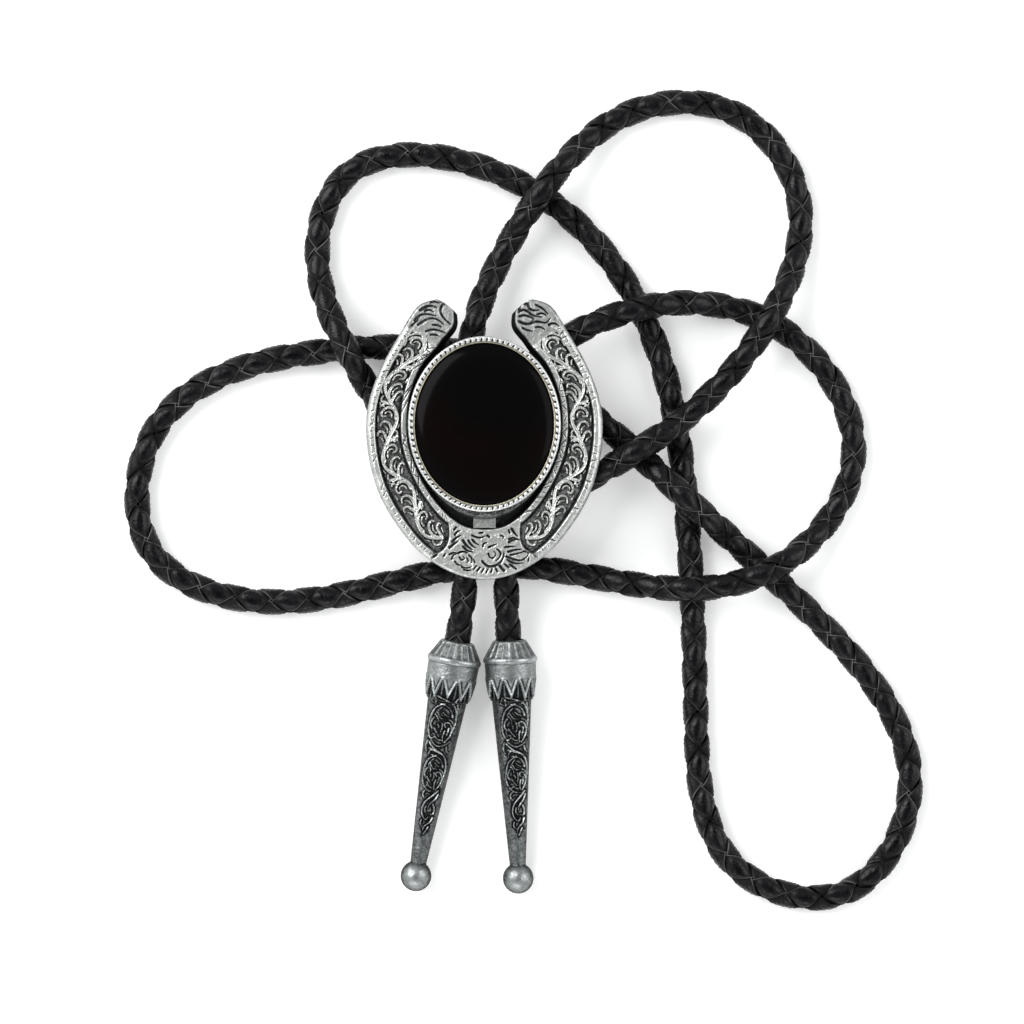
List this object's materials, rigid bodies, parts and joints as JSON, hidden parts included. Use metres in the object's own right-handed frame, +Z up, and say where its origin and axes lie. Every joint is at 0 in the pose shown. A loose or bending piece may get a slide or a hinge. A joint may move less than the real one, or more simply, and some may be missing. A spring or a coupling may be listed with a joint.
{
  "type": "bolo tie",
  "caption": "Horseshoe slide with an oval black cabochon on a looped braided leather cord that ends in two cast tips.",
  "frame": {"origin": "middle of the footprint of the metal pieces (slide and tips, without the cord), on the plane that the bolo tie lies on", "axes": "+Z up, away from the plane and out of the stone's face; +Y from the tips towards the open end of the horseshoe; +X to the right of the slide"},
  "size_m": [0.1398, 0.1433, 0.015],
  "materials": {
    "antique_silver": "cast and antiqued silver, dark in the hollows and bright on the rims",
    "dark_pewter": "cast antiqued pewter, satin",
    "black_stone": "polished black cabochon",
    "clip_steel": "plain stamped metal",
    "black_leather": "black laces braided into a round cord"
  },
  "bodies": {
    "root": {"horseshoe": "antique_silver", "setting": "antique_silver", "stone": "black_stone", "back_clip": "clip_steel", "cord": "black_leather", "tip_left": "dark_pewter", "tip_right": "dark_pewter"}
  },
  "joints": []
}
